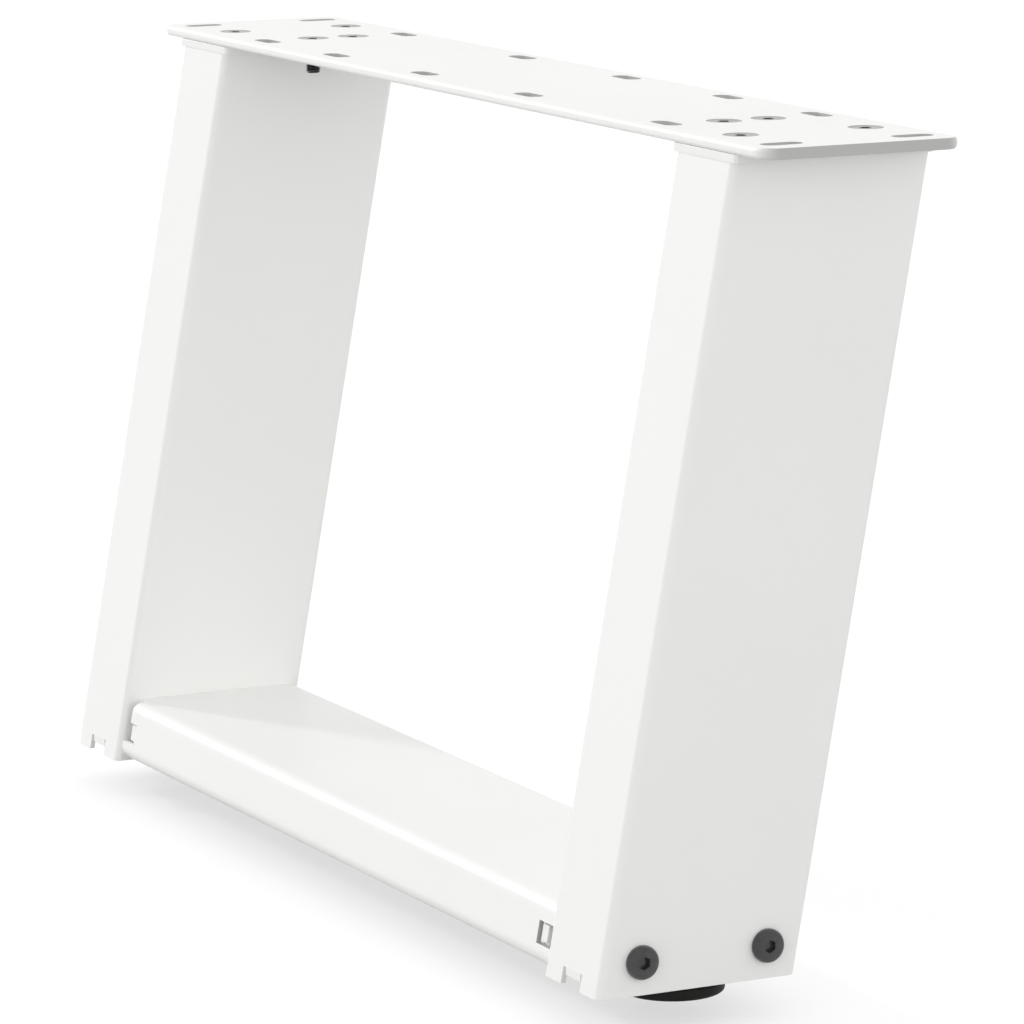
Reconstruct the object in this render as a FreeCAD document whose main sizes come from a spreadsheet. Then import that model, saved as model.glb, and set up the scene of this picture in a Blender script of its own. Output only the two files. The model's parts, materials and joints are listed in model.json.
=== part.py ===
import FreeCAD, Part
import math
import os

import Sketcher
from FreeCAD import Placement, Rotation, Vector

# A U shaped steel table leg: a top plate that screws under a table top, two leaning box
# legs, a folded crossbar bolted between them near the floor and two levelling feet.
# The origin is the centre of the plate's top face. +X runs along the plate, -Y is the side
# towards which the legs lean going down, and +Z is up.

# Driving dimensions in millimetres.
SIZES = {
    # Top plate
    "plate_length": 500,
    "plate_rim": 0.2,
    "plate_thick": 4,
    "plate_corner": 7.5,
    "plate_edge": 1.6,
    # Open slots for the table top's own screws, from the plate's ends, edges and middle
    "slot_length": 16,
    "slot_width": 7,
    "end_slot_in": 12,
    "end_slot_edge": 14,
    "row_slot_edge": 9.5,
    "row_slot_far": 84.5,
    "row_slot_mid": 148.5,
    "row_slot_near": 24,
    "row_slot_inner": 61,
    # Legs, their middles measured from the plate's ends
    "leg_in": 41.5,
    "leg_width": 40,
    "leg_depth": 79,
    "leg_wall": 2,
    "leg_corner": 2.5,
    "leg_height": 288,
    "lean_shift": 51.5,
    # Cap strips between the plate and the legs
    "cap_thick": 3,
    "cap_overhang": 2,
    "cap_rim": 0.3,
    "cap_corner": 1.5,
    "tongue_width": 40,
    "tongue_edge": 11,
    # Countersunk screws through the plate
    "screw_dia": 6,
    "screw_length": 14,
    "screw_head": 12.6,
    "screw_sink": 0.15,
    "sink_dia": 13,
    "socket_across": 4,
    "socket_deep": 2,
    "outer_screw_edge": 14.5,
    "inner_screw_y": 9,
    "inner_screw_in": 40,
    # Clearances
    "fit_gap": 0.05,
    "sheet_gap": 0.3,
    # Notch and plate at the bottom of each leg
    "notch_width": 13.8,
    "notch_height": 6.2,
    "notch_gap": 1.5,
    "base_thick": 3,
    "tab_flush": 0.1,
    # Levelling feet
    "foot_y": 0.8,
    "stud_dia": 8,
    "stud_length": 28,
    "nut_across": 13,
    "nut_height": 6.5,
    "pad_dia": 38,
    "pad_thick": 4.5,
    "pad_edge": 1.2,
    "pad_floor": 1.5,
    "foot_drop": 5,
    # Crossbar
    "bar_height": 24,
    "bar_lift": 1,
    "bar_inset": 1.5,
    "bar_wall": 2,
    "bar_bend": 5,
    "bar_lip": 10,
    "bar_slot_rise": 8.7,
    "bar_slot_height": 8.1,
    "bar_slot_end": 1.4,
    "bar_relief": 5.3,
    # Brackets, one plate across the inside of each end of the crossbar
    "bracket_in": 5.4,
    "bracket_plate": 4.5,
    "tab_gap": 1,
    "tab_recess": 1,
    # Bolts through the legs into the crossbar
    "bolt_dia": 6,
    "bolt_length": 55,
    "bolt_head": 13,
    "bolt_rim": 1.5,
    "bolt_crown": 2.8,
    "bolt_face": 10.4,
    "bolt_rise": 12,
    "bolt_edge": 13.75,
    "bar_nut_across": 10,
    "bar_nut_height": 5,
    "shank_chamfer": 0.8,
}

SIDES = (("left", -1), ("right", 1))
ROWS = (("front", -1), ("rear", 1))

# Heights and places that several pieces share, as expressions of the driving dimensions.
PLATE_END = "Sizes.plate_length / 2"
PLATE_SIDE = "(Sizes.leg_depth / 2 + Sizes.cap_rim + Sizes.plate_rim)"
LEG_X = f"({PLATE_END} - Sizes.leg_in)"
LEG_TOP = "-(Sizes.plate_thick + Sizes.cap_thick)"
LEG_FOOT = "-(Sizes.plate_thick + Sizes.cap_thick + Sizes.leg_height)"
LEAN = "Sizes.lean_shift / Sizes.leg_height"
BAR_TOP = "(Sizes.bar_lift + Sizes.bar_height)"
BAR_MIDDLE = "Sizes.bar_inset / 2"
BOLT_Y = f"({BAR_MIDDLE} + {LEAN} * Sizes.bolt_rise)"
BOLT_OUT = "((Sizes.leg_depth - Sizes.bar_inset) / 2 - Sizes.bolt_edge)"
NUT_FACE = "(Sizes.leg_width + Sizes.bracket_in + Sizes.bracket_plate)"
OUTER_SCREW_Y = "(Sizes.leg_depth / 2 - Sizes.outer_screw_edge)"
PLATE_HOLE = "(Sizes.screw_dia / 2 + Sizes.fit_gap)"

os.makedirs("parts", exist_ok=True)
doc = FreeCAD.newDocument("TableLeg")
sheet = doc.addObject("Spreadsheet::Sheet", "Sizes")
for row, (alias, value) in enumerate(SIZES.items(), start=1):
    sheet.set(f"A{row}", alias)
    sheet.set(f"B{row}", str(value))
    sheet.setAlias(f"B{row}", alias)
doc.recompute()


def measure(expression):
    """Return the value of an expression of the sheet's sizes as a plain number."""
    value = sheet.evalExpression(str(expression))
    return float(getattr(value, "Value", value))


def newBody(label, x="0", y="0", z="0", rotation=Rotation()):
    """Start a piece whose local origin stands at the given place."""
    body = doc.addObject("PartDesign::Body", label)
    body.Label = label
    body.Placement = Placement(Vector(0, 0, 0), rotation)
    for axis, place in zip("xyz", (x, y, z)):
        body.setExpression(f"Placement.Base.{axis}", str(place))
    doc.recompute()
    return body


def newSketch(body, name, role, offset=None):
    """Add a sketch on one of the body's origin planes, raised along its normal by offset."""
    sketch = body.newObject("Sketcher::SketchObject", name)
    plane = next(item for item in body.Origin.OriginFeatures if item.Role == role)
    sketch.AttachmentSupport = [(plane, "")]
    sketch.MapMode = "FlatFace"
    if offset is not None:
        sketch.setExpression("AttachmentOffset.Base.z", offset)
    return sketch


def bind(sketch, kind, geometry, point, expression, name):
    """Tie one coordinate of a sketch point, or one radius, to an expression."""
    value = measure(expression)
    if kind in ("Radius", "Diameter"):
        index = sketch.addConstraint(Sketcher.Constraint(kind, geometry, value))
    else:
        index = sketch.addConstraint(Sketcher.Constraint(kind, geometry, point, value))
    sketch.renameConstraint(index, name)
    sketch.setExpression(f"Constraints.{name}", str(expression))


def drawPolygon(sketch, corners):
    """Draw a closed outline whose corners are pairs of expressions."""
    places = [Vector(measure(x), measure(y), 0) for x, y in corners]
    first = sketch.GeometryCount
    count = len(places)
    for index, start in enumerate(places):
        sketch.addGeometry(Part.LineSegment(start, places[(index + 1) % count]))
    for index in range(count):
        following = first + (index + 1) % count
        sketch.addConstraint(Sketcher.Constraint("Coincident", first + index, 2, following, 1))
    for index, (x, y) in enumerate(corners):
        line = first + index
        bind(sketch, "DistanceX", line, 1, x, f"x{line}")
        bind(sketch, "DistanceY", line, 1, y, f"y{line}")


def drawRectangle(sketch, left, right, bottom, top):
    """Draw a rectangle between four edges, given as expressions."""
    drawPolygon(sketch, [(left, bottom), (right, bottom), (right, top), (left, top)])


def drawCircle(sketch, x, y, radius):
    """Draw a circle at a place given by expressions."""
    centre = Vector(measure(x), measure(y), 0)
    circle = sketch.addGeometry(Part.Circle(centre, Vector(0, 0, 1), measure(radius)))
    bind(sketch, "DistanceX", circle, 3, x, f"x{circle}")
    bind(sketch, "DistanceY", circle, 3, y, f"y{circle}")
    bind(sketch, "Radius", circle, 0, radius, f"radius{circle}")


def drawSlot(sketch, x, y, upright):
    """Draw a round-ended slot of the plate's slot size, centred at x, y."""
    radius = measure("Sizes.slot_width / 2")
    straight = "(Sizes.slot_length - Sizes.slot_width) / 2"
    turn = math.pi / 2 if upright else 0
    along = Vector(math.cos(turn), math.sin(turn), 0)
    across = Vector(-math.sin(turn), math.cos(turn), 0)
    middle = Vector(measure(x), measure(y), 0)
    ends = [middle - along * measure(straight), middle + along * measure(straight)]
    arcs = []
    for end, begin in zip(ends, (turn + math.pi / 2, turn - math.pi / 2)):
        circle = Part.Circle(end, Vector(0, 0, 1), radius)
        arcs.append(sketch.addGeometry(Part.ArcOfCircle(circle, begin, begin + math.pi)))
    sides = []
    for way in (1, -1):
        rim = across * (radius * way)
        sides.append(sketch.addGeometry(Part.LineSegment(ends[0] + rim, ends[1] + rim)))
    joins = ((arcs[0], 1, sides[0], 1), (arcs[0], 2, sides[1], 1),
             (arcs[1], 2, sides[0], 2), (arcs[1], 1, sides[1], 2))
    for arc, arcEnd, side, sideEnd in joins:
        sketch.addConstraint(Sketcher.Constraint("Tangent", arc, arcEnd, side, sideEnd))
    sketch.addConstraint(Sketcher.Constraint("Equal", arcs[0], arcs[1]))
    bind(sketch, "Radius", arcs[0], 0, "Sizes.slot_width / 2", f"radius{arcs[0]}")
    for arc, way in zip(arcs, ("-", "+")):
        endX = x if upright else f"{x} {way} {straight}"
        endY = f"{y} {way} {straight}" if upright else y
        bind(sketch, "DistanceX", arc, 3, endX, f"x{arc}")
        bind(sketch, "DistanceY", arc, 3, endY, f"y{arc}")


def drawHexagon(sketch, x, y, across):
    """Draw a hexagon by its size across the flats, with two corners along local X."""
    corners = []
    for step in range(6):
        reach = f"{across} / sqrt(3)"
        corners.append((f"{x} + {reach} * cos({60 * step} deg)",
                        f"{y} + {reach} * sin({60 * step} deg)"))
    drawPolygon(sketch, corners)


def pad(body, sketch, name, length, reverse=False, middle=False):
    """Extrude a sketch into solid."""
    feature = body.newObject("PartDesign::Pad", name)
    feature.Profile = sketch
    feature.setExpression("Length", length)
    feature.Reversed = reverse
    feature.Midplane = middle
    doc.recompute()
    return feature


def cut(body, sketch, name, length=None, reverse=False, middle=False):
    """Cut a sketch out of the body, through everything where no length is given."""
    before = body.Shape.Volume
    feature = body.newObject("PartDesign::Pocket", name)
    feature.Profile = sketch
    if length is None:
        feature.Type = "ThroughAll"
    else:
        feature.setExpression("Length", length)
    feature.Reversed = reverse
    feature.Midplane = middle
    doc.recompute()
    if not body.Shape.Volume < before:
        raise RuntimeError(f"{body.Label}: {name} cuts nothing")
    return feature


def turn(body, sketch, name):
    """Revolve a sketch about its own vertical axis."""
    feature = body.newObject("PartDesign::Revolution", name)
    feature.Profile = sketch
    feature.ReferenceAxis = (sketch, ["V_Axis"])
    feature.Angle = 360
    doc.recompute()
    return feature


def roundEdges(body, name, radius, chosen, kind="PartDesign::Fillet"):
    """Round or chamfer every edge of the body's shape that the test chosen accepts."""
    base = body.Tip
    names = [f"Edge{i}" for i, edge in enumerate(base.Shape.Edges, start=1) if chosen(edge)]
    feature = body.newObject(kind, name)
    feature.Base = (base, names)
    feature.setExpression("Size" if kind == "PartDesign::Chamfer" else "Radius", radius)
    doc.recompute()
    return feature


def spread(edge):
    """Return how far an edge reaches along X, Y and Z."""
    box = edge.BoundBox
    return box.XLength, box.YLength, box.ZLength


def makeTopPlate():
    """Flat plate with rounded corners, open slots and countersunk holes."""
    body = newBody("top_plate")
    outline = newSketch(body, "PlateOutline", "XY_Plane")
    drawRectangle(outline, f"-{PLATE_END}", PLATE_END, f"-{PLATE_SIDE}", PLATE_SIDE)
    pad(body, outline, "PlateSheet", "Sizes.plate_thick", reverse=True)
    thick = measure("Sizes.plate_thick")
    roundEdges(body, "PlateCorners", "Sizes.plate_corner",
               lambda edge: abs(spread(edge)[2] - thick) < 1e-6)
    roundEdges(body, "PlateEdges", "Sizes.plate_edge", lambda edge: spread(edge)[2] < 1e-6)
    slots = newSketch(body, "SlotOutlines", "XY_Plane")
    for row in (-1, 1):
        drawSlot(slots, f"{PLATE_END} - Sizes.end_slot_in",
                 f"{row} * ({PLATE_SIDE} - Sizes.end_slot_edge)", upright=True)
    for place in (f"Sizes.row_slot_far - {PLATE_END}", f"Sizes.row_slot_mid - {PLATE_END}",
                  "-Sizes.row_slot_near", "Sizes.row_slot_inner",
                  f"{PLATE_END} - Sizes.row_slot_far"):
        drawSlot(slots, place, f"Sizes.row_slot_edge - {PLATE_SIDE}", upright=False)
    slotCut = cut(body, slots, "Slots")
    holes = newSketch(body, "ScrewPlaces", "XY_Plane")
    for x, y in screwPlaces():
        drawCircle(holes, x, y, PLATE_HOLE)
    doc.recompute()
    hole = body.newObject("PartDesign::Hole", "ScrewHoles")
    hole.Profile = holes
    doc.recompute()
    hole.ThreadType = 0
    hole.DepthType = "ThroughAll"
    hole.HoleCutType = "Countersink"
    hole.HoleCutCustomValues = True
    hole.setExpression("Diameter", f"2 * {PLATE_HOLE}")
    hole.setExpression("HoleCutDiameter", "Sizes.sink_dia")
    hole.HoleCutCountersinkAngle = 90
    doc.recompute()
    pattern = body.newObject("PartDesign::PolarPattern", "OtherHalf")
    pattern.Originals = [slotCut, hole]
    pattern.Axis = (slots, ["N_Axis"])
    pattern.Angle = 360
    pattern.Occurrences = 2
    body.Tip = pattern
    doc.recompute()


def screwPlaces():
    """Return the four screw places of the right leg: two over the leg, two over the tongue."""
    return [(x, f"{row} * {y}") for row in (-1, 1) for x, y in (
        (LEG_X, OUTER_SCREW_Y), (f"({LEG_X} - Sizes.inner_screw_in)", "Sizes.inner_screw_y"))]


def makeCapPlate(name, side):
    """Strip on top of a leg with a tongue inward, tapped for the plate's screws."""
    body = newBody(f"{name}_cap_plate", x=f"{side} * {LEG_X}", z="-Sizes.plate_thick")
    outline = newSketch(body, "CapOutline", "XY_Plane")
    edge = "(Sizes.leg_width / 2 + Sizes.cap_overhang)"
    end = "(Sizes.inner_screw_in + Sizes.tongue_edge)"
    half = "(Sizes.leg_depth / 2 + Sizes.cap_rim)"
    tongue = "Sizes.tongue_width / 2"
    drawPolygon(outline, [
        (f"{side} * {edge}", f"-{half}"), (f"{side} * {edge}", half),
        (f"{-side} * {edge}", half), (f"{-side} * {edge}", tongue),
        (f"{-side} * {end}", tongue), (f"{-side} * {end}", f"-{tongue}"),
        (f"{-side} * {edge}", f"-{tongue}"), (f"{-side} * {edge}", f"-{half}")])
    pad(body, outline, "CapSheet", "Sizes.cap_thick", reverse=True)
    thick = measure("Sizes.cap_thick")
    roundEdges(body, "CapCorners", "Sizes.cap_corner",
               lambda edge: abs(spread(edge)[2] - thick) < 1e-6)
    holes = newSketch(body, "TappedHoles", "XY_Plane")
    for x, y in screwPlaces():
        drawCircle(holes, f"{side} * ({x} - {LEG_X})", y, PLATE_HOLE)
    cut(body, holes, "Tapped")


def makeLegTube(name, side):
    """Leaning box section, cut level at both ends, notched and drilled near the bottom."""
    body = newBody(f"{name}_leg_tube", x=f"{side} * {LEG_X}", z=LEG_TOP)
    section = newSketch(body, "TubeSection", "XY_Plane")
    for inset in ("0", "Sizes.leg_wall"):
        halfWidth = f"(Sizes.leg_width / 2 - {inset})"
        halfDepth = f"(Sizes.leg_depth / 2 - {inset})"
        drawRectangle(section, f"-{halfWidth}", halfWidth, f"-{halfDepth}", halfDepth)
    tube = pad(body, section, "Tube", "Sizes.leg_height")
    tube.UseCustomVector = True
    tube.AlongSketchNormal = True
    tube.Direction = Vector(0, -measure("Sizes.lean_shift"), -measure("Sizes.leg_height"))
    tube.setExpression("Direction.y", "-Sizes.lean_shift")
    tube.setExpression("Direction.z", "-Sizes.leg_height")
    doc.recompute()
    for corners, radius, halfWidth in (
            ("InnerCorners", "Sizes.leg_corner - Sizes.leg_wall", "Sizes.leg_width / 2 - Sizes.leg_wall"),
            ("OuterCorners", "Sizes.leg_corner", "Sizes.leg_width / 2")):
        face = measure(halfWidth)
        roundEdges(body, corners, radius, lambda edge: spread(edge)[0] < 1e-6 < spread(edge)[2] and (
            abs(abs(edge.BoundBox.Center.x) - face) < 1e-3))
    notch = newSketch(body, "NotchOutline", "XZ_Plane")
    drawRectangle(notch, "-Sizes.notch_width / 2", "Sizes.notch_width / 2",
                  "-Sizes.leg_height - 1", "-Sizes.leg_height + Sizes.notch_height")
    cut(body, notch, "Notches", middle=True)
    holes = newSketch(body, "BoltHoles", "YZ_Plane")
    for row in (-1, 1):
        drawCircle(holes, f"{BOLT_Y} - Sizes.lean_shift + {row} * {BOLT_OUT}",
                   "Sizes.bolt_rise - Sizes.leg_height", "Sizes.bolt_dia / 2 + Sizes.fit_gap")
    cut(body, holes, "Bolts", middle=True)


def footBody(label, x, rotation=Rotation()):
    """Start a piece at the height and lean of the legs' bottom ends."""
    return newBody(label, x=x, y="-Sizes.lean_shift", z=LEG_FOOT, rotation=rotation)


def makeBottomPlate(name, side):
    """Plate inside the leg with a tab in each notch, which carries the foot's nut."""
    body = footBody(f"{name}_bottom_plate", f"{side} * {LEG_X}")
    outline = newSketch(body, "BaseOutline", "XY_Plane",
                        "Sizes.notch_height - Sizes.base_thick")
    centre = f"{LEAN} * (Sizes.notch_height - Sizes.base_thick / 2)"
    slope = f"{LEAN} * Sizes.base_thick / 2"
    wide = "(Sizes.leg_width / 2 - Sizes.leg_wall - Sizes.sheet_gap)"
    deep = f"(Sizes.leg_depth / 2 - Sizes.leg_wall - Sizes.sheet_gap - {slope})"
    reach = f"(Sizes.leg_depth / 2 - Sizes.tab_flush - {slope})"
    tab = "(Sizes.notch_width / 2 - Sizes.notch_gap)"
    drawPolygon(outline, [
        (f"-{wide}", f"{centre} - {deep}"), (f"-{tab}", f"{centre} - {deep}"),
        (f"-{tab}", f"{centre} - {reach}"), (tab, f"{centre} - {reach}"),
        (tab, f"{centre} - {deep}"), (wide, f"{centre} - {deep}"),
        (wide, f"{centre} + {deep}"), (tab, f"{centre} + {deep}"),
        (tab, f"{centre} + {reach}"), (f"-{tab}", f"{centre} + {reach}"),
        (f"-{tab}", f"{centre} + {deep}"), (f"-{wide}", f"{centre} + {deep}")])
    pad(body, outline, "BaseSheet", "Sizes.base_thick")
    hole = newSketch(body, "StudHole", "XY_Plane")
    drawCircle(hole, "0", "Sizes.foot_y", "Sizes.stud_dia / 2 + Sizes.fit_gap")
    cut(body, hole, "StudPass", reverse=True)


def makeNut(body, x, y, level, across, height, bore):
    """Hexagon nut standing on the local level, with its bore along local Z."""
    outline = newSketch(body, "NutOutline", "XY_Plane", level)
    drawHexagon(outline, x, y, across)
    drawCircle(outline, x, y, f"{bore} / 2 + Sizes.fit_gap")
    pad(body, outline, "Nut", height)


def makeFoot(name, side):
    """Levelling foot: a threaded stud moulded into a round pad."""
    place = f"{side} * {LEG_X}"
    padBody = footBody(f"{name}_foot_pad", place)
    half = newSketch(padBody, "PadProfile", "XZ_Plane")
    bore = "(Sizes.stud_dia / 2 + Sizes.fit_gap)"
    rim = "Sizes.pad_dia / 2"
    bottom = "-Sizes.foot_drop"
    top = "(Sizes.pad_thick - Sizes.foot_drop)"
    floor = "(Sizes.pad_floor - Sizes.foot_drop)"
    edge = "Sizes.pad_edge"
    drawPolygon(half, [
        ("0", bottom), (f"{rim} - {edge}", bottom), (rim, f"{bottom} + {edge}"),
        (rim, f"{top} - {edge}"), (f"{rim} - {edge}", top), (bore, top), (bore, floor),
        ("0", floor)])
    turn(padBody, half, "Pad")
    padBody.setExpression("Placement.Base.y", "-Sizes.lean_shift + Sizes.foot_y")

    stud = footBody(f"{name}_foot_stud", place)
    rod = newSketch(stud, "StudProfile", "XZ_Plane")
    radius = "Sizes.stud_dia / 2"
    tip = f"({floor} + Sizes.stud_length)"
    drawPolygon(rod, [("0", floor), (radius, floor), (radius, f"{tip} - Sizes.shank_chamfer"),
                      (f"{radius} - Sizes.shank_chamfer", tip), ("0", tip)])
    turn(stud, rod, "Stud")
    stud.setExpression("Placement.Base.y", "-Sizes.lean_shift + Sizes.foot_y")

    nut = footBody(f"{name}_foot_nut", place)
    makeNut(nut, "0", "Sizes.foot_y", "Sizes.notch_height", "Sizes.nut_across",
            "Sizes.nut_height", "Sizes.stud_dia")


def leaning(y, z):
    """Return a corner at height z whose depth follows the lean of the legs."""
    return (f"{y} + {LEAN} * ({z})", z)


def barSide(sign, inset):
    """Return the depth of the crossbar's front or rear plane, moved inward by inset."""
    plane = "(Sizes.leg_depth / 2)" if sign > 0 else "(Sizes.bar_inset - Sizes.leg_depth / 2)"
    return f"({plane} - {sign} * ({inset}))"


def makeCrossBar():
    """Folded channel between the legs, open below, with slots in both walls at each end."""
    body = footBody("cross_bar", "0")
    wall = "Sizes.bar_wall"
    low = "Sizes.bar_lift"
    lipTop = f"({low} + {wall})"
    roof = f"({BAR_TOP} - {wall})"
    length = f"(2 * {LEG_X} - Sizes.leg_width)"
    halves = []
    for sign in (-1, 1):
        halves.append([
            leaning(barSide(sign, "Sizes.bar_lip"), low), leaning(barSide(sign, "0"), low),
            leaning(barSide(sign, "0"), BAR_TOP), leaning(barSide(sign, wall), roof),
            leaning(barSide(sign, wall), lipTop), leaning(barSide(sign, "Sizes.bar_lip"), lipTop)])
    front, rear = halves
    profile = newSketch(body, "BarSection", "YZ_Plane")
    drawPolygon(profile, front[:3] + rear[2::-1] + rear[:2:-1] + front[3:])
    pad(body, profile, "Channel", length, middle=True)
    whole = measure(length)
    for name, radius, corners in (("InnerBends", "Sizes.bar_bend - Sizes.bar_wall", slice(3, 5)),
                                  ("OuterBends", "Sizes.bar_bend", slice(1, 3))):
        spots = [(measure(y), measure(z)) for half in halves for y, z in half[corners]]
        roundEdges(body, name, radius, lambda edge: spread(edge)[0] > whole - 1e-3 and any(
            math.hypot(edge.BoundBox.Center.y - y, edge.BoundBox.Center.z - z) < 0.01
            for y, z in spots))
    end = f"{length} / 2"
    slotEnd = f"({end} - Sizes.bracket_in - Sizes.bracket_plate - Sizes.bar_slot_end)"
    slots = newSketch(body, "SlotSections", "XZ_Plane")
    for side in (-1, 1):
        drawRectangle(slots, f"{side} * {slotEnd}", f"{side} * ({end} + 1)", "Sizes.bar_slot_rise",
                      "Sizes.bar_slot_rise + Sizes.bar_slot_height")
    cut(body, slots, "Slots", middle=True)
    # The left end is cut back above its slots, through the walls and their bends only.
    for row, sign in ROWS:
        relief = newSketch(body, f"{row}Relief", "YZ_Plane", f"-{end}")
        drawPolygon(relief, [leaning(barSide(sign, inset), level) for inset, level in (
            ("-1", "Sizes.bar_slot_rise"), ("Sizes.bar_bend", "Sizes.bar_slot_rise"),
            ("Sizes.bar_bend", f"{BAR_TOP} + 1"), ("-1", f"{BAR_TOP} + 1"))])
        cut(body, relief, f"{row}CutBack", "Sizes.bar_relief", reverse=True)


def makeBarBracket(name, side):
    """Plate across the inside of the crossbar with a tab in each slot, drilled for the bolts."""
    place = f"{side} * ({LEG_X} - Sizes.leg_width / 2 - Sizes.bracket_in)"
    body = footBody(f"{name}_bar_bracket", place)
    low = "(Sizes.bar_lift + Sizes.bar_wall)"
    high = f"({BAR_TOP} - Sizes.bar_wall - Sizes.sheet_gap)"
    skin = "(Sizes.bar_wall + Sizes.sheet_gap)"
    corner = "(Sizes.bar_bend - Sizes.bar_wall + Sizes.sheet_gap)"
    tabLow = "(Sizes.bar_slot_rise + Sizes.tab_gap)"
    tabHigh = "(Sizes.bar_slot_rise + Sizes.bar_slot_height - Sizes.tab_gap)"
    half = ((f"{skin} + {corner}", low), (skin, f"{low} + {corner}"), (skin, tabLow),
            ("Sizes.tab_recess", tabLow), ("Sizes.tab_recess", tabHigh), (skin, tabHigh),
            (skin, f"{high} - {corner}"), (f"{skin} + {corner}", high))
    front, rear = [[leaning(barSide(sign, inset), level) for inset, level in half]
                   for sign in (-1, 1)]
    outline = newSketch(body, "BracketOutline", "YZ_Plane")
    drawPolygon(outline, front + rear[::-1])
    pad(body, outline, "BracketSheet", "Sizes.bracket_plate", reverse=side > 0)
    holes = newSketch(body, "BracketHoles", "YZ_Plane")
    for row in (-1, 1):
        drawCircle(holes, f"{BOLT_Y} + {row} * {BOLT_OUT}", "Sizes.bolt_rise",
                   "Sizes.bolt_dia / 2 + Sizes.fit_gap")
    cut(body, holes, "BoltPasses", middle=True)


def cutSocket(body, level):
    """Cut a hexagon socket down from the local level on the local Z axis."""
    socket = newSketch(body, "SocketOutline", "XY_Plane", level)
    drawHexagon(socket, "0", "0", "Sizes.socket_across")
    cut(body, socket, "Socket", "Sizes.socket_deep")


def makePlateScrew(label, x, y):
    """Countersunk socket screw, its head just below the plate's top face."""
    body = newBody(label, x=x, y=y)
    profile = newSketch(body, "ScrewProfile", "XZ_Plane")
    shank = "Sizes.screw_dia / 2"
    head = "Sizes.screw_head / 2"
    top = "-Sizes.screw_sink"
    tip = "-Sizes.screw_length"
    drawPolygon(profile, [
        ("0", top), ("0", tip), (f"{shank} - Sizes.shank_chamfer", tip),
        (shank, f"{tip} + Sizes.shank_chamfer"), (shank, f"{top} - ({head} - {shank})"),
        (head, top)])
    turn(body, profile, "Screw")
    cutSocket(body, top)


def makeBarBolt(label, side, row):
    """Flanged button-head bolt through a leg, with its nut inside the crossbar."""
    outward = Rotation(Vector(0, 1, 0), 90 * side)
    y = f"{BOLT_Y} - Sizes.lean_shift + {row} * {BOLT_OUT}"
    z = f"{LEG_FOOT} + Sizes.bolt_rise"
    x = f"{side} * ({LEG_X} + Sizes.leg_width / 2)"
    bolt = newBody(f"{label}_bar_bolt", x, y, z, outward)
    profile = newSketch(bolt, "BoltProfile", "XZ_Plane")
    shank = "Sizes.bolt_dia / 2"
    rim = "Sizes.bolt_head / 2"
    tip = "-Sizes.bolt_length"
    drawPolygon(profile, [
        ("0", tip), (f"{shank} - Sizes.shank_chamfer", tip),
        (shank, f"{tip} + Sizes.shank_chamfer"), (shank, "0"), (rim, "0"),
        (rim, "Sizes.bolt_rim"), ("Sizes.bolt_face / 2", "Sizes.bolt_crown"),
        ("0", "Sizes.bolt_crown")])
    turn(bolt, profile, "Bolt")
    cutSocket(bolt, "Sizes.bolt_crown")
    nut = newBody(f"{label}_bar_nut", x, y, z, outward)
    makeNut(nut, "0", "0", f"-({NUT_FACE} + Sizes.bar_nut_height)", "Sizes.bar_nut_across",
            "Sizes.bar_nut_height", "Sizes.bolt_dia")


makeTopPlate()
makeCrossBar()
for sideName, sideSign in SIDES:
    makeCapPlate(sideName, sideSign)
    makeLegTube(sideName, sideSign)
    makeBottomPlate(sideName, sideSign)
    makeFoot(sideName, sideSign)
    makeBarBracket(sideName, sideSign)
    for rowName, rowSign in ROWS:
        makeBarBolt(f"{sideName}_{rowName}", sideSign, rowSign)
    for rowName, placePair in zip(("front", "rear"), (screwPlaces()[:2], screwPlaces()[2:])):
        for depth, (x, y) in zip(("outer", "inner"), placePair):
            makePlateScrew(f"{sideName}_{rowName}_{depth}_screw", f"{sideSign} * {x}", y)
doc.recompute()

# Every feature must have been computed, and every piece must be one valid solid.
for item in doc.Objects:
    if "Invalid" in item.State or "Error" in item.State:
        raise RuntimeError(f"{item.Label} failed: {item.State}")
bodies = [item for item in doc.Objects if item.TypeId == "PartDesign::Body"]
for body in bodies:
    shape = body.Shape
    if shape.isNull() or not shape.isValid() or len(shape.Solids) != 1:
        raise RuntimeError(f"{body.Label} is not one valid solid")
for body in bodies:
    body.Shape.exportStep(f"parts/{body.Label}.step")
print(len(bodies), "pieces written")
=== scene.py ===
import json
import math

import bmesh
import bpy
from mathutils import Matrix, Vector


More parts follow.
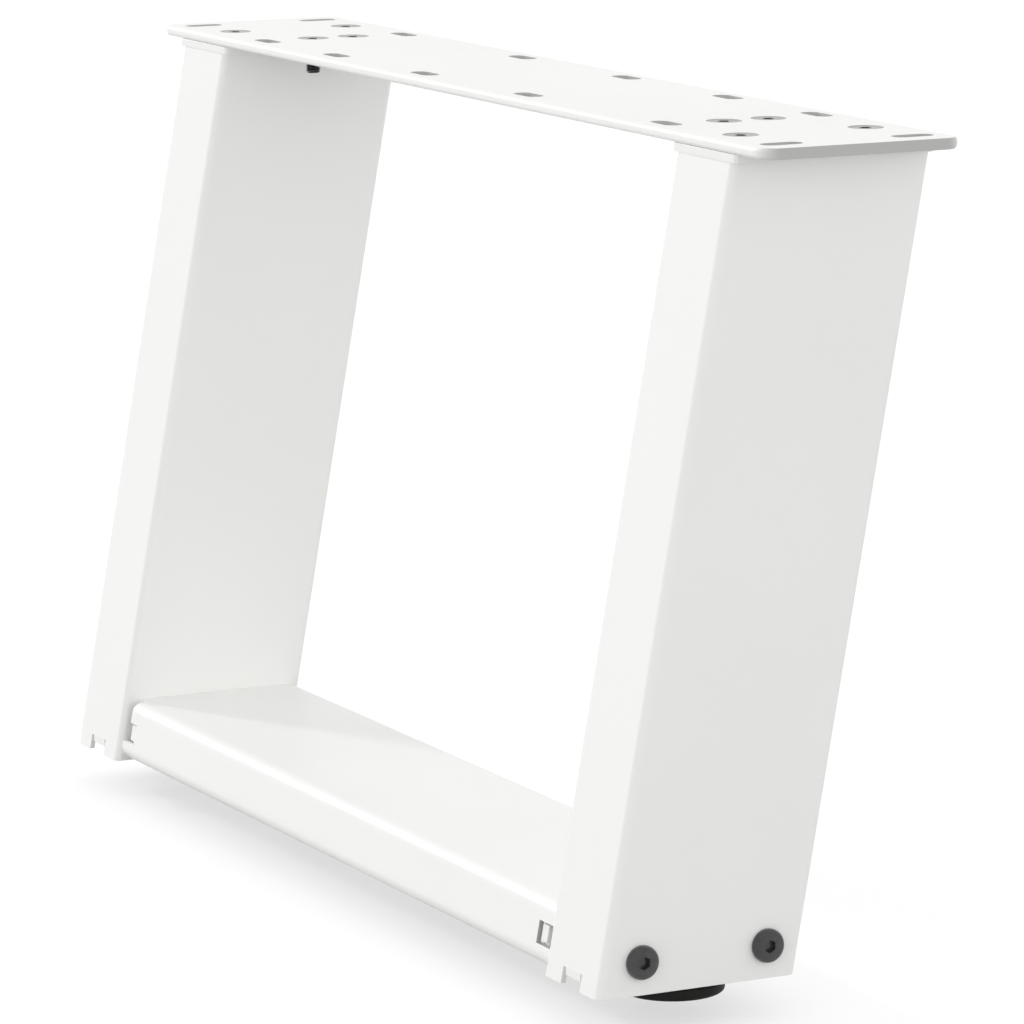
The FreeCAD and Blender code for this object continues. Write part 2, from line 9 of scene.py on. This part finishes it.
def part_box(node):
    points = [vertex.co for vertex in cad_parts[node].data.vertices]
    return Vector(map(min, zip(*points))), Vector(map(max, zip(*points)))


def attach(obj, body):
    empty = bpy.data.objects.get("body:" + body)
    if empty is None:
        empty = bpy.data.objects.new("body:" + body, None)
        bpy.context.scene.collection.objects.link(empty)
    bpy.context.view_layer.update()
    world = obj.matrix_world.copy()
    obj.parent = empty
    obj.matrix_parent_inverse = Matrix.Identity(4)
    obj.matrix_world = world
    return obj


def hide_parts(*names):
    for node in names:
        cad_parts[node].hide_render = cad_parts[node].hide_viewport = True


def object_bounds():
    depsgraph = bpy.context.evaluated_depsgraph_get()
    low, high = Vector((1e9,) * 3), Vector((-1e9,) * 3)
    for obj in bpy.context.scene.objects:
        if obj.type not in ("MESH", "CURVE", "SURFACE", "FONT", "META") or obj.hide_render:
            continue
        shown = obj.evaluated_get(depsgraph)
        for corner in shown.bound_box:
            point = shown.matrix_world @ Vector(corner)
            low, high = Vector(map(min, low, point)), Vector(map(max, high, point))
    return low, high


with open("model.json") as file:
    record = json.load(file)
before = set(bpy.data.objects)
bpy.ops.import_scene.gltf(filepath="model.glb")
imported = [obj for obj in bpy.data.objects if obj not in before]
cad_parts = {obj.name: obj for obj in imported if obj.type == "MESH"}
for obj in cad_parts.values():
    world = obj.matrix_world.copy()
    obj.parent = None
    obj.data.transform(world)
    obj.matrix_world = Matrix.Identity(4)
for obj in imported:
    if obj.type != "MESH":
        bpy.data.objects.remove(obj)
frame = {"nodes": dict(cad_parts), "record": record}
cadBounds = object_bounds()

mm = 0.001
weldGap = 0.002                 # points nearer to each other than this become one, mm
nodes = frame["nodes"]
record = frame["record"]
slotOf = {part["node"]: part["material_slot"] for part in record["subparts"]}
bodyOf = {node: body for body, members in record["behaviour"]["bodies"].items()
          for node in members}

scene = bpy.context.scene
scene.view_settings.view_transform = "Standard"


# Camera

cameraView = {
    "place": (1.8783, -0.9781, 0.2200),
    "aim": (0.0104, -0.0111, -0.1654),
    "lens": 197.15,
    "clipEnd": 100,
}

camera = bpy.data.objects.new("photoCamera", bpy.data.cameras.new("photoCamera"))
scene.collection.objects.link(camera)
camera.location = cameraView["place"]
lookAlong = Vector(cameraView["aim"]) - camera.location
camera.rotation_euler = lookAlong.to_track_quat("-Z", "Y").to_euler()
camera.data.lens = cameraView["lens"]
camera.data.clip_end = cameraView["clipEnd"]
scene.camera = camera
print("camera placed")


# Finishes: each drifts a little in tone and gloss, and has a fine relief.

finishNoise = {
    "patchDetail": 3,
    "peelDetail": 2,
    "toneSpan": (0.35, 0.65),   # parts of the noise over which tone and gloss drift
    "roughSpan": (0.3, 0.7),
}

powderCoat = {
    "tone": (0.945, 0.945, 0.930, 1),
    "toneDrift": (0.930, 0.930, 0.912, 1),
    "cutEndAndShadeTone": (0.50, 0.50, 0.49, 1),   # grey on cut walls: painted shade in the plate's slots and in the gaps at the bar's ends, and a darker tone on the plate's sawn ends
    "patchScale": 9,            # of the drift, per metre
    "peelScale": 420,           # of the orange peel, per metre
    "peelDepth": 0.00003,
    "roughLow": 0.34,
    "roughHigh": 0.44,
}

blackCoat = {
    "tone": (0.012, 0.012, 0.012, 1),
    "toneDrift": (0.024, 0.024, 0.024, 1),
    "patchScale": 260,
    "peelScale": 2400,
    "peelDepth": 0.00001,
    "roughLow": 0.22,
    "roughHigh": 0.34,
    "gloss": 0.35,
    "coat": 0.8,
    "coatRough": 0.26,
}

zincPlate = {
    "tone": (0.62, 0.63, 0.64, 1),
    "toneDrift": (0.52, 0.53, 0.55, 1),
    "patchScale": 180,
    "peelScale": 1600,
    "peelDepth": 0.00001,
    "roughLow": 0.22,
    "roughHigh": 0.38,
    "metallic": 1,
}

footPlastic = {
    "tone": (0.011, 0.011, 0.010, 1),
    "toneDrift": (0.019, 0.019, 0.018, 1),
    "patchScale": 150,
    "peelScale": 1500,          # fine spark texture of the mould
    "peelDepth": 0.00003,
    "roughLow": 0.42,
    "roughHigh": 0.55,
    "gloss": 0.1,
}


def addNode(tree, kind, values):
    added = tree.nodes.new(kind)
    for name, value in values.items():
        added.inputs[name].default_value = value
    return added


def makeFinish(name, look):
    material = bpy.data.materials.new(name)
    material.use_nodes = True
    tree = material.node_tree
    link = tree.links.new
    shader = tree.nodes["Principled BSDF"]
    shader.inputs["Metallic"].default_value = look.get("metallic", 0)
    shader.inputs["Specular IOR Level"].default_value = look.get("gloss", 0.5)
    shader.inputs["Coat Weight"].default_value = look.get("coat", 0)
    shader.inputs["Coat Roughness"].default_value = look.get("coatRough", 0.03)

    place = tree.nodes.new("ShaderNodeTexCoord")
    patches = addNode(tree, "ShaderNodeTexNoise", {
        "Scale": look["patchScale"], "Detail": finishNoise["patchDetail"]})
    link(place.outputs["Object"], patches.inputs["Vector"])

    tones = tree.nodes.new("ShaderNodeValToRGB")
    stops = zip(tones.color_ramp.elements, finishNoise["toneSpan"],
                (look["tone"], look["toneDrift"]))
    for stop, position, tone in stops:
        stop.position = position
        stop.color = tone
    link(patches.outputs["Fac"], tones.inputs["Fac"])
    coatTone = tones.outputs["Color"]
    # Faces marked as cut walls take a grey: painted shade in slots and gaps, and a darker tone on
    # sawn ends.
    if "cutEndAndShadeTone" in look:
        cutEndAndShadeMask = tree.nodes.new("ShaderNodeAttribute")
        cutEndAndShadeMask.attribute_name = "cutEndAndShadeMask"
        cutEndAndShadeMix = tree.nodes.new("ShaderNodeMix")
        cutEndAndShadeMix.data_type = "RGBA"
        cutEndAndShadeMix.inputs["B"].default_value = look["cutEndAndShadeTone"]
        link(cutEndAndShadeMask.outputs["Fac"], cutEndAndShadeMix.inputs["Factor"])
        link(coatTone, cutEndAndShadeMix.inputs["A"])
        coatTone = cutEndAndShadeMix.outputs["Result"]
    link(coatTone, shader.inputs["Base Color"])

    roughFrom, roughTo = finishNoise["roughSpan"]
    rough = addNode(tree, "ShaderNodeMapRange", {
        "From Min": roughFrom, "From Max": roughTo,
        "To Min": look["roughLow"], "To Max": look["roughHigh"]})
    link(patches.outputs["Fac"], rough.inputs["Value"])
    link(rough.outputs["Result"], shader.inputs["Roughness"])

    peel = addNode(tree, "ShaderNodeTexNoise", {
        "Scale": look["peelScale"], "Detail": finishNoise["peelDetail"]})
    link(place.outputs["Object"], peel.inputs["Vector"])
    bump = addNode(tree, "ShaderNodeBump", {"Strength": 1, "Distance": look["peelDepth"]})
    link(peel.outputs["Fac"], bump.inputs["Height"])
    link(bump.outputs["Normal"], shader.inputs["Normal"])
    return material


finishes = {
    "white_frame": makeFinish("whitePowderCoat", powderCoat),
    "black_fastener": makeFinish("blackCoatedSteel", blackCoat),
    "zinc_steel": makeFinish("zincPlatedSteel", zincPlate),
    "black_plastic": makeFinish("mouldedFootPlastic", footPlastic),
}
for node, piece in nodes.items():
    piece.data.materials.clear()
    piece.data.materials.append(finishes[slotOf[node]])
print("finishes made:", ", ".join(finishes))


# Every new piece stands for the node it is made from, on the same body and with its finish.

def addPiece(name, bm, node, sharpFrom):
    mesh = bpy.data.meshes.new(name)
    bm.to_mesh(mesh)
    bm.free()
    mesh.materials.append(finishes[slotOf[node]])
    mesh.shade_smooth()
    mesh.set_sharp_from_angle(angle=math.radians(sharpFrom))
    piece = bpy.data.objects.new(name, mesh)
    scene.collection.objects.link(piece)
    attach(piece, bodyOf[node])
    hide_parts(node)
    return piece


# White steel: the coat runs thick over cut edges, so each of them is slightly round.

coatedSteel = {
    "edge": 0.18,               # radius of a cut edge under the coat, mm
    "stripEdge": 0.5,           # the same for the cap strips, which show it more
    "edgeSteps": 3,
    "flatWithin": 0.4,          # degrees between faces that become one
    "cutFrom": 28,              # degrees between faces at a cut edge
    "sharpFrom": 50,
    "plateCorner": 7.5,         # corners of the plate, mm
    "plateRoll": 1.6,           # round of its edges, mm
    "rollSlack": 0.02,          # so that the foot of the round is surely taken in, mm
    "cutZones": {               # where cut walls painted grey have their middles: x, y and z from and to, mm; the grey is painted shade in slots and gaps
        "top_plate": ((-250.1, 250.1), (-37.9, 37.9), (-3.99, -0.01)),
        "cross_bar": ((170, 188.4), (-95, 0), (-293, -270.5)),
    },
}

plateCorner = coatedSteel["plateCorner"] * mm
rollFrom = plateCorner - coatedSteel["plateRoll"] * mm - coatedSteel["rollSlack"] * mm
cornerX, cornerY = (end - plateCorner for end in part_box("top_plate")[1].xy)


def squareEnds(bm):
    # The plate is sawn from rolled bar: round along its sides, flat at its ends.
    for vert in bm.verts:
        out = abs(vert.co.x) - cornerX
        along = max(abs(vert.co.y) - cornerY, 0)
        reach = math.hypot(out, along)
        if out > 0 and reach > rollFrom:
            grow = 1 + (plateCorner / reach - 1) * (out / reach) ** 2
            vert.co.x = math.copysign(cornerX + out * grow, vert.co.x)
            if along > 0:
                vert.co.y = math.copysign(cornerY + along * grow, vert.co.y)


def markCutWalls(bm, zone):
    # 1 on a cut wall, which gets painted shade in slots and gaps and a darker tone on sawn ends;
    # fading out round the corners of the plate
    cutEndAndShadeMask = bm.faces.layers.float.new("cutEndAndShadeMask")
    for face in bm.faces:
        middle = face.calc_center_bounds() / mm
        within = [low < place < high for place, (low, high) in zip(middle, zone)]
        out = abs(middle.x) - cornerX / mm
        along = abs(middle.y) - cornerY / mm
        if out > 0 and along > 0 and within[2]:
            face[cutEndAndShadeMask] = out * out / (out * out + along * along)
        elif all(within):
            face[cutEndAndShadeMask] = 1


for node in [name for name, slot in slotOf.items() if slot == "white_frame"]:
    bm = bmesh.new()
    bm.from_mesh(nodes[node].data)
    bmesh.ops.remove_doubles(bm, verts=bm.verts, dist=weldGap * mm)
    if node == "top_plate":
        squareEnds(bm)
    bmesh.ops.dissolve_limit(bm, angle_limit=math.radians(coatedSteel["flatWithin"]),
                             verts=bm.verts, edges=bm.edges)
    if node in coatedSteel["cutZones"]:
        markCutWalls(bm, coatedSteel["cutZones"][node])
    edge = coatedSteel["stripEdge" if node.endswith("_cap_plate") else "edge"]
    cutEdges = [line for line in bm.edges if line.is_manifold
                and line.calc_face_angle() > math.radians(coatedSteel["cutFrom"])]
    bmesh.ops.bevel(bm, geom=cutEdges, offset=edge * mm, offset_type="OFFSET",
                    affect="EDGES", segments=coatedSteel["edgeSteps"], profile=0.5, material=-1,
                    clamp_overlap=True)
    steel = addPiece(f"{node}_coated", bm, node, coatedSteel["sharpFrom"])
    steel.modifiers.new("evenShading", "WEIGHTED_NORMAL").keep_sharp = True
print("white steel coated")


# Turned and threaded pieces are built upright in millimetres, then set in their places.

turned = {
    "roundSteps": 48,
    "threadSteps": 28,          # per turn
    "threadDepth": 0.61,        # this and the next two in pitches
    "crest": (0.4, 0.56),
    "lead": 1.27,               # start below the end, so that no point lies in the end's plane
    "socketChamfer": (0.15, 0.2),   # out and down, mm
}


def hexReach(angle):
    return 1 / math.cos(angle % (math.pi / 3) - math.pi / 6)


def shapeRing(verts, reach, level, hexed=False, slope=0):
    for vert in verts:
        angle = math.atan2(vert.co.y, vert.co.x)
        out = reach * hexReach(angle) if hexed else reach
        vert.co = (out * math.cos(angle), out * math.sin(angle), level - slope * (out - reach))


def stackRings(bm, rings, joined=False):
    ringVerts = bmesh.ops.create_circle(bm, segments=turned["roundSteps"], radius=1)["verts"]
    shapeRing(ringVerts, *rings[0])
    firstEdges = bm.edges[:]
    ringEdges = firstEdges
    for ring in rings[1:]:
        grown = bmesh.ops.extrude_edge_only(bm, edges=ringEdges)["geom"]
        ringVerts = {item for item in grown if isinstance(item, bmesh.types.BMVert)}
        ringEdges = [item for item in grown
                     if isinstance(item, bmesh.types.BMEdge) and set(item.verts) <= ringVerts]
        shapeRing(ringVerts, *ring)
    if joined:
        bmesh.ops.bridge_loops(bm, edges=firstEdges + ringEdges)
    else:
        bmesh.ops.edgeloop_fill(bm, edges=firstEdges)
        bmesh.ops.edgeloop_fill(bm, edges=ringEdges)


def narrow(verts, limitAt):
    for vert in verts:
        reach = math.hypot(vert.co.x, vert.co.y)
        limit = limitAt(vert.co.z)
        if reach > limit:
            vert.co.x *= limit / reach
            vert.co.y *= limit / reach


def cutThread(bm, look, low, high):
    radius, pitch, taper = look["shank"], look["pitch"], look.get("taper", 0)
    core = radius - turned["threadDepth"] * pitch
    crestFrom, crestTo = turned["crest"]
    steps = turned["threadSteps"]
    turns = math.ceil((high - low) / pitch) + 2
    thread = bmesh.new()
    flank = [thread.verts.new((reach, 0, low + (rise - turned["lead"]) * pitch))
             for reach, rise in ((core, 0), (radius, crestFrom), (radius, crestTo), (core, 1))]
    line = [thread.edges.new(pair) for pair in zip(flank, flank[1:])]
    bmesh.ops.spin(thread, geom=flank + line, cent=(0, 0, 0), axis=(0, 0, 1),
                   angle=math.tau * turns, dvec=(0, 0, pitch / steps), steps=steps * turns,
                   use_merge=False)
    bmesh.ops.remove_doubles(thread, verts=thread.verts, dist=weldGap)
    narrow(thread.verts, lambda z: max(radius - taper + z - low, core - taper))
    for level, way in ((low, -1), (high, 1)):
        everything = thread.verts[:] + thread.edges[:] + thread.faces[:]
        bmesh.ops.bisect_plane(thread, geom=everything, plane_co=(0, 0, level),
                               plane_no=(0, 0, way), clear_outer=True)
    openEdges = [edge for edge in thread.edges if edge.is_boundary]
    bmesh.ops.holes_fill(thread, edges=openEdges, sides=0)
    threadMesh = bpy.data.meshes.new("thread")
    thread.to_mesh(threadMesh)
    thread.free()
    bm.from_mesh(threadMesh)
    bpy.data.meshes.remove(threadMesh)


def setInPlace(bm, place, upAxis):
    bmesh.ops.recalc_face_normals(bm, faces=bm.faces)
    upright = Vector((0, 0, 1)).rotation_difference(Vector(upAxis)).to_matrix().to_4x4()
    where = Matrix.Translation(place) @ upright @ Matrix.Scale(mm, 4)
    bmesh.ops.transform(bm, matrix=where, verts=bm.verts)


def socketRings(look):
    half = look["socket"] / 2
    top = look["profile"][0][1]
    out, down = turned["socketChamfer"]
    return [(half, top - look["socketDepth"], True), (half, top - down, True),
            (half + out, top, True)]


# Countersunk socket screws in the top plate

plateScrew = {
    "profile": ((6.15, 0), (6.3, -0.12), (6.25, -0.3), (3, -3.6), (2.95, -4)),
    "threadFrom": -3.6,
    "shank": 3,
    "pitch": 1,
    "taper": 0.7,
    "socket": 4,
    "socketDepth": 2,
    "sharpFrom": 35,
}

for node in [name for name in nodes if name.endswith("_screw")]:
    low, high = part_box(node)
    middle = (low + high) / 2
    bm = bmesh.new()
    stackRings(bm, [*socketRings(plateScrew), *plateScrew["profile"]])
    cutThread(bm, plateScrew, (low.z - high.z) / mm, plateScrew["threadFrom"])
    setInPlace(bm, (middle.x, middle.y, high.z), (0, 0, 1))
    addPiece(f"{node}_turned", bm, node, plateScrew["sharpFrom"])
print("plate screws cut")


# Low-head socket bolts through the legs

barBolt = {
    "profile": ((4.9, 2.8), (5.05, 2.72), (5.2, 2.7), (5.55, 2.5), (5.85, 2.15), (6.05, 1.7),
                (6.15, 1.2), (6.15, 0.2), (6.05, 0), (3.2, 0), (3, -0.3), (3, -30.7), (2.7, -31)),
    "headHeight": 2.8,
    "threadFrom": -30.8,
    "shank": 3,
    "pitch": 1,
    "taper": 0.8,
    "socket": 4,
    "socketDepth": 2,
    "sharpFrom": 35,
}

for node in [name for name in nodes if name.endswith("_bar_bolt")]:
    low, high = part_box(node)
    middle = (low + high) / 2
    side = math.copysign(1, middle.x)
    bm = bmesh.new()
    stackRings(bm, [*socketRings(barBolt), *barBolt["profile"]])
    tip = barBolt["headHeight"] - (high.x - low.x) / mm
    cutThread(bm, barBolt, tip, barBolt["threadFrom"])
    underHead = max(abs(low.x), abs(high.x)) - barBolt["headHeight"] * mm
    setInPlace(bm, (side * underHead, middle.y, middle.z), (side, 0, 0))
    addPiece(f"{node}_turned", bm, node, barBolt["sharpFrom"])
print("bar bolts cut")


# Hexagon nuts: in the brackets for the bolts, and on the bottom plates for the feet

nutShape = {
    "boltBore": 3.05,           # radii with a little room round the thread, mm
    "footBore": 4.05,
    "boreChamfer": 0.5,
    "cornerFall": 0.577,        # of the corner chamfer, for each mm outward
    "faceRound": 0.1,
    "faceDrop": 0.02,
    "sharpFrom": 30,
}

for node in [name for name in nodes if name.endswith("_nut")]:
    low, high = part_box(node)
    middle = (low + high) / 2
    onBolt = node.endswith("_bar_nut")
    height = (high.x - low.x if onBolt else high.z - low.z) / mm
    half = (high.y - low.y) / mm / 2
    face = half - nutShape["faceRound"]
    drop, fall = nutShape["faceDrop"], nutShape["cornerFall"]
    bore, chamfer = nutShape["boltBore" if onBolt else "footBore"], nutShape["boreChamfer"]
    bm = bmesh.new()
    stackRings(bm, [(bore, chamfer), (bore, height - chamfer), (bore + chamfer, height),
                    (face, height), (half, height - drop, True, fall), (half, drop, True, -fall),
                    (face, 0), (bore + chamfer, 0)], joined=True)
    if onBolt:
        side = math.copysign(1, middle.x)
        near = min(abs(low.x), abs(high.x))
        setInPlace(bm, (side * near, middle.y, middle.z), (side, 0, 0))
    else:
        setInPlace(bm, (middle.x, middle.y, low.z), (0, 0, 1))
    addPiece(f"{node}_turned", bm, node, nutShape["sharpFrom"])
print("nuts cut")


# Levelling feet: a threaded stud in a moulded pad with a rolled rim

footPad = {
    "rimRadius": 1.2,
    "rimSteps": 5,
    "bore": 4.05,
    "boreChamfer": 0.3,
    "boreDeep": 3,
    "sharpFrom": 40,
}

footStud = {
    "shank": 4,
    "pitch": 1.25,
    "topTaper": 0.8,
    "sharpFrom": 35,
}

for name in ("left", "right"):
    low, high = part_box(f"{name}_foot_pad")
    middle = (low + high) / 2
    outer = (high.x - low.x) / 2 / mm
    thick = (high.z - low.z) / mm
    roll, bore, chamfer = footPad["rimRadius"], footPad["bore"], footPad["boreChamfer"]
    quarter = [step / footPad["rimSteps"] * math.pi / 2 for step in range(footPad["rimSteps"] + 1)]
    curve = [(math.cos(angle), math.sin(angle)) for angle in quarter]
    rings = [(outer - roll + roll * along, roll - roll * rise) for along, rise in curve[::-1]]
    rings += [(outer - roll + roll * along, thick - roll + roll * rise) for along, rise in curve]
    rings += [(bore + chamfer, thick), (bore, thick - chamfer), (bore, thick - footPad["boreDeep"])]
    bm = bmesh.new()
    stackRings(bm, rings)
    setInPlace(bm, (middle.x, middle.y, low.z), (0, 0, 1))
    addPiece(f"{name}_foot_pad_moulded", bm, f"{name}_foot_pad", footPad["sharpFrom"])

    low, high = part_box(f"{name}_foot_stud")
    middle = (low + high) / 2
    bm = bmesh.new()
    cutThread(bm, footStud, (low.z - high.z) / mm, 0)
    narrow(bm.verts, lambda z: footStud["shank"] - footStud["topTaper"] - z)
    setInPlace(bm, (middle.x, middle.y, high.z), (0, 0, 1))
    addPiece(f"{name}_foot_stud_turned", bm, f"{name}_foot_stud", footStud["sharpFrom"])
print("levelling feet made")


# Floor, room and key lamp

studio = {
    "floorTone": (0.50, 0.50, 0.50, 1),
    "floorLift": 0.58,          # added where the floor is seen
    "floorReach": 30,
    "floorGap": 0.05,           # so that the feet don't lie in the floor's own plane, mm
    "roomTone": (1, 1, 1, 1),
    "roomSeen": 1,              # strength of the room where it is seen
    "roomLow": 1.76,            # light from the room level with the object
    "roomHigh": 0.75,           # and from above
    "roomRise": 0.6,            # share of straight up from which it is as from above
}

keyLamp = {
    "towards": (2.3, 1.01, -1),
    "strength": 0.86,
    "spread": 6,
}

# The floor lies under the feet at their lowest, so that it hides none of them.
footDrop = max(joint["range_m"][1] for joint in record["behaviour"]["joints"])
floorLevel = cadBounds[0].z - footDrop - studio["floorGap"] * mm
bm = bmesh.new()
bmesh.ops.create_grid(bm, x_segments=1, y_segments=1, size=studio["floorReach"])
bmesh.ops.translate(bm, verts=bm.verts, vec=(0, 0, floorLevel))
floorMesh = bpy.data.meshes.new("studioFloor")
bm.to_mesh(floorMesh)
bm.free()
floorPiece = bpy.data.objects.new("studioFloor", floorMesh)
scene.collection.objects.link(floorPiece)


def addSeenByEye(tree):
    # 1 for what the camera sees itself, in a reflection or through glass, else 0
    rays = tree.nodes.new("ShaderNodeLightPath")
    seen = rays.outputs["Is Camera Ray"]
    for kind in ("Is Glossy Ray", "Is Transmission Ray"):
        either = tree.nodes.new("ShaderNodeMath")
        either.operation = "MAXIMUM"
        tree.links.new(seen, either.inputs[0])
        tree.links.new(rays.outputs[kind], either.inputs[1])
        seen = either.outputs["Value"]
    return seen


floorLook = bpy.data.materials.new("studioFloor")
floorLook.use_nodes = True
tree = floorLook.node_tree
link = tree.links.new
tree.nodes.remove(tree.nodes["Principled BSDF"])
dull = addNode(tree, "ShaderNodeBsdfDiffuse", {"Color": studio["floorTone"]})
lift = tree.nodes.new("ShaderNodeEmission")
amount = addNode(tree, "ShaderNodeMath", {1: studio["floorLift"]})
amount.operation = "MULTIPLY"
both = tree.nodes.new("ShaderNodeAddShader")
link(addSeenByEye(tree), amount.inputs[0])
link(amount.outputs["Value"], lift.inputs["Strength"])
link(dull.outputs["BSDF"], both.inputs[0])
link(lift.outputs["Emission"], both.inputs[1])
# The floor is clear from below, so that the underside can be looked at.
sides = tree.nodes.new("ShaderNodeNewGeometry")
clear = tree.nodes.new("ShaderNodeBsdfTransparent")
oneSided = tree.nodes.new("ShaderNodeMixShader")
link(sides.outputs["Backfacing"], oneSided.inputs["Fac"])
link(both.outputs["Shader"], oneSided.inputs[1])
link(clear.outputs["BSDF"], oneSided.inputs[2])
link(oneSided.outputs["Shader"], tree.nodes["Material Output"].inputs["Surface"])
floorMesh.materials.append(floorLook)

world = bpy.data.worlds.new("studioRoom")
scene.world = world
world.use_nodes = True
tree = world.node_tree
link = tree.links.new
room = tree.nodes["Background"]
room.inputs["Color"].default_value = studio["roomTone"]
way = tree.nodes.new("ShaderNodeTexCoord")
wayAxes = tree.nodes.new("ShaderNodeSeparateXYZ")
glow = addNode(tree, "ShaderNodeMapRange", {
    "From Max": studio["roomRise"], "To Min": studio["roomLow"], "To Max": studio["roomHigh"]})
level = addNode(tree, "ShaderNodeMapRange", {"To Max": studio["roomSeen"]})
link(way.outputs["Generated"], wayAxes.inputs["Vector"])
link(wayAxes.outputs["Z"], glow.inputs["Value"])
link(glow.outputs["Result"], level.inputs["To Min"])
link(addSeenByEye(tree), level.inputs["Value"])
link(level.outputs["Result"], room.inputs["Strength"])

sun = bpy.data.lights.new("keyLamp", "SUN")
sun.energy = keyLamp["strength"]
sun.angle = math.radians(keyLamp["spread"])
lampHolder = bpy.data.objects.new("keyLamp", sun)
scene.collection.objects.link(lampHolder)
lampHolder.rotation_euler = Vector(keyLamp["towards"]).to_track_quat("-Z", "Y").to_euler()
print("studio ready")
